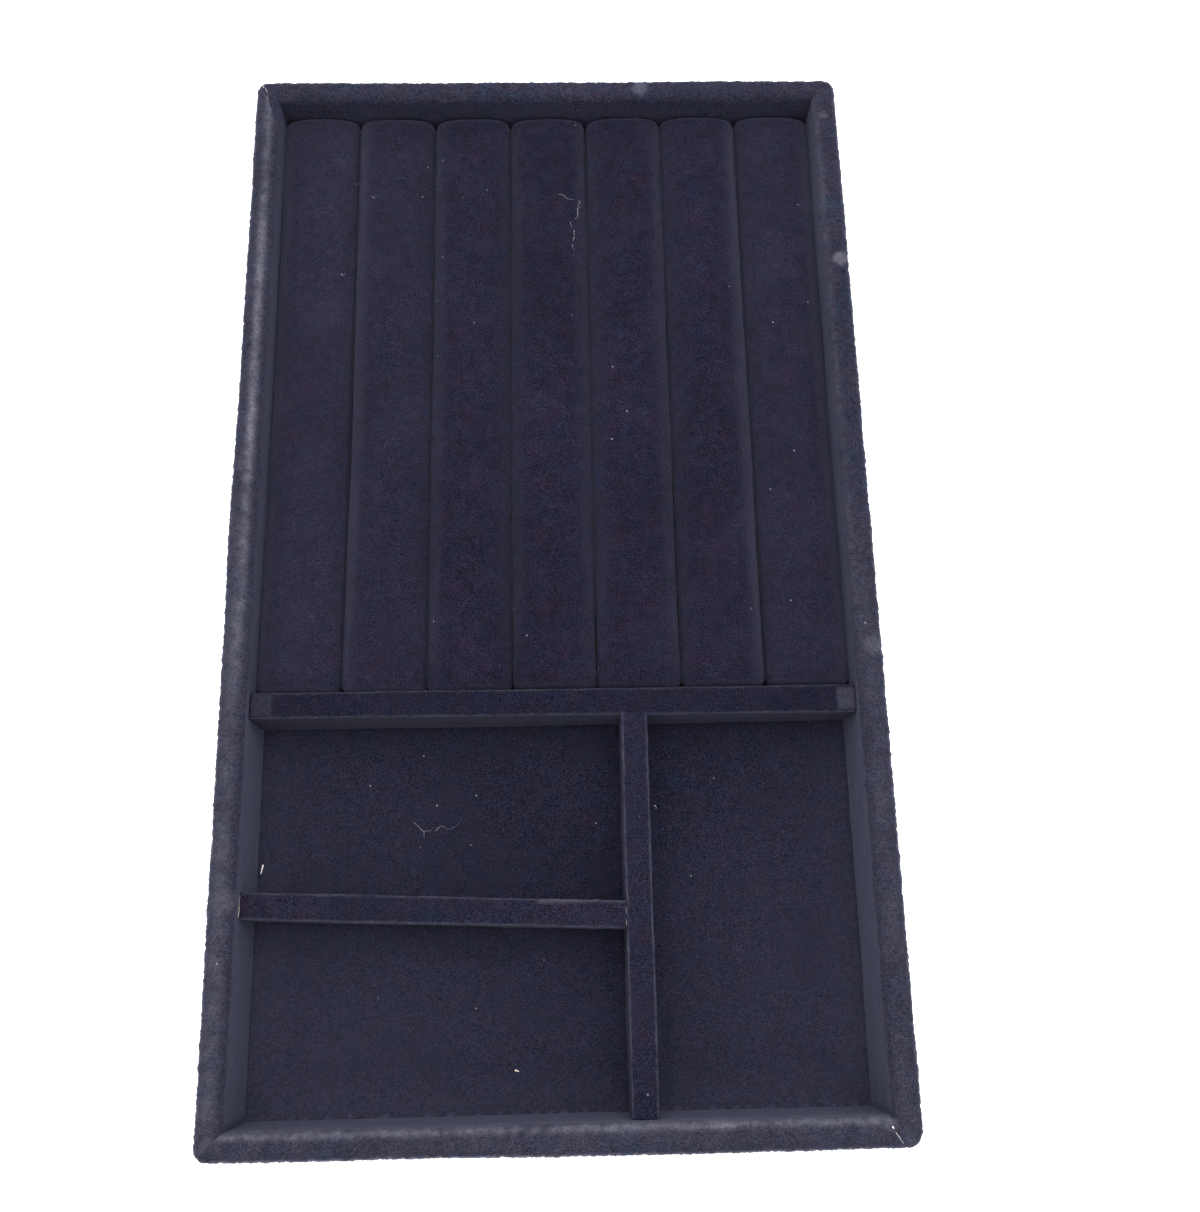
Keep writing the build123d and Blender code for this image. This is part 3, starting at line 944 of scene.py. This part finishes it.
def thread(height, radius, turns):
    """A loose thread through a row of places, curling up and down a little on its way."""
    bpy.ops.object.select_all(action="DESELECT")
    bpy.ops.curve.primitive_nurbs_path_add(location=(0, 0, 0))
    strand = bpy.context.object
    spline = strand.data.splines[0]
    spline.points.add(len(turns) - len(spline.points))
    for step, (control, (x, y)) in enumerate(zip(spline.points, turns)):
        lift = 0.2 * mm * abs(noise.noise(Vector((x, y, 0)) * 1.7))
        control.co = (x * mm, y * mm, height + lift, 1)
        control.radius = 1.3 - 1.1 * step / len(turns)
    spline.order_u = 3
    strand.data.bevel_depth = radius * mm
    strand.data.bevel_resolution = 1
    strand.data.resolution_u = 4
    bpy.ops.object.convert(target="MESH")
    return bpy.context.object


def fluff(height, x, y):
    """A curl of fluff at a place, its size and its turn set by where it lies."""
    turn = 9 * noise.noise(Vector((x, y, 3)) / 5)
    size = 0.28 + 0.2 * noise.noise(Vector((x, y, 9)) / 3)
    steps = [turn + 0.9 * step for step in range(5)]
    return thread(height, 0.08, [(x + size * cos(step), y + size * sin(step)) for step in steps])


def joined(name, strands, material):
    """Joins strands into one piece and finishes it."""
    bpy.ops.object.select_all(action="DESELECT")
    for strand in strands:
        strand.select_set(True)
    bpy.context.view_layer.objects.active = strands[0]
    bpy.ops.object.join()
    piece = bpy.context.object
    piece.name = piece.data.name = name
    dress(piece, material, [])


pale_thread = board_material("pale thread", (0.2, 0.19, 0.22), (0.012, 0.011, 0.02), 900)
backing = board_material("frayed backing", (0.9, 0.87, 0.8), (0.5, 0.42, 0.36), 900)
lint = [thread(*each) for each in threads]
lint += [fluff(roll_top, x, y) for x, y in roll_fluff]
lint += [fluff(floor_top, x, y) for x, y in floor_fluff]
joined("lint", lint, pale_thread)
joined("frayed_backing", [thread(*each) for each in frayed], backing)


# The felt that closes the underside

def underside_felt():
    """A sheet of felt between the hems, its cut edge a little uneven."""
    piece = block("underside_felt", sheet_low, sheet_high)
    for axis, cuts in ((0, (9, 7)), (1, (9, 13))):
        divide(piece, lambda middle, run: along(run, axis), *cuts)
    close_edit(piece)

    def uneven(place, normal):
        edge = noise.noise(place / (6 * mm)) * 0.3 * mm
        inward = Vector((place.x, place.y, 0)).normalized() * -abs(edge)
        low = place.z < (sheet_low.z + sheet_high.z) / 2
        lift = 0.12 * mm * abs(noise.noise(place / (12 * mm))) if low else 0
        return place + inward + Vector((0, 0, lift))

    move_points(piece, uneven)
    paint_wear_and_light(piece, lambda place, normal: 0)
    dress(piece, felt, ["underside_sheet"])


underside_felt()


# Stage, light and camera

def studio():
    """A pale floor, a soft white room and one large soft light above."""
    bpy.ops.object.select_all(action="DESELECT")
    bpy.ops.mesh.primitive_plane_add(size=8, location=(0, 0, cad_low.z - 0.05 * mm))
    floor = bpy.context.object
    floor.name = "floor"
    material, _, shader, _ = new_material("pale floor")
    shader.inputs["Base Color"].default_value = (0.92, 0.92, 0.92, 1)
    shader.inputs["Roughness"].default_value = 0.9
    floor.data.materials.append(material)
    world = bpy.data.worlds.new("room")
    world.use_nodes = True
    background = world.node_tree.nodes["Background"]
    background.inputs["Color"].default_value = (1, 1, 1, 1)
    background.inputs["Strength"].default_value = 1.8
    bpy.context.scene.world = world
    lamp_place = Vector((0.03, 0.2, 1.3))
    bpy.ops.object.light_add(type="AREA", location=lamp_place)
    lamp = bpy.context.object
    lamp.name = "soft_light"
    lamp.data.size = 1.0
    lamp.data.energy = 20
    lamp.rotation_euler = (-lamp_place).to_track_quat("-Z", "Y").to_euler()


def photographer():
    """The camera over the front of the tray, leaning back a little."""
    bpy.ops.object.camera_add(location=Vector((4.47, -121.4, 400.92)) * mm,
                              rotation=(radians(15.76), radians(-1.183), radians(-1.263)))
    camera = bpy.context.object
    camera.data.sensor_width = 36
    camera.data.lens = 37.07
    camera.data.clip_start = 10 * mm
    camera.data.clip_end = 50
    bpy.context.scene.camera = camera


studio()
photographer()
bpy.context.scene.view_settings.view_transform = "Standard"
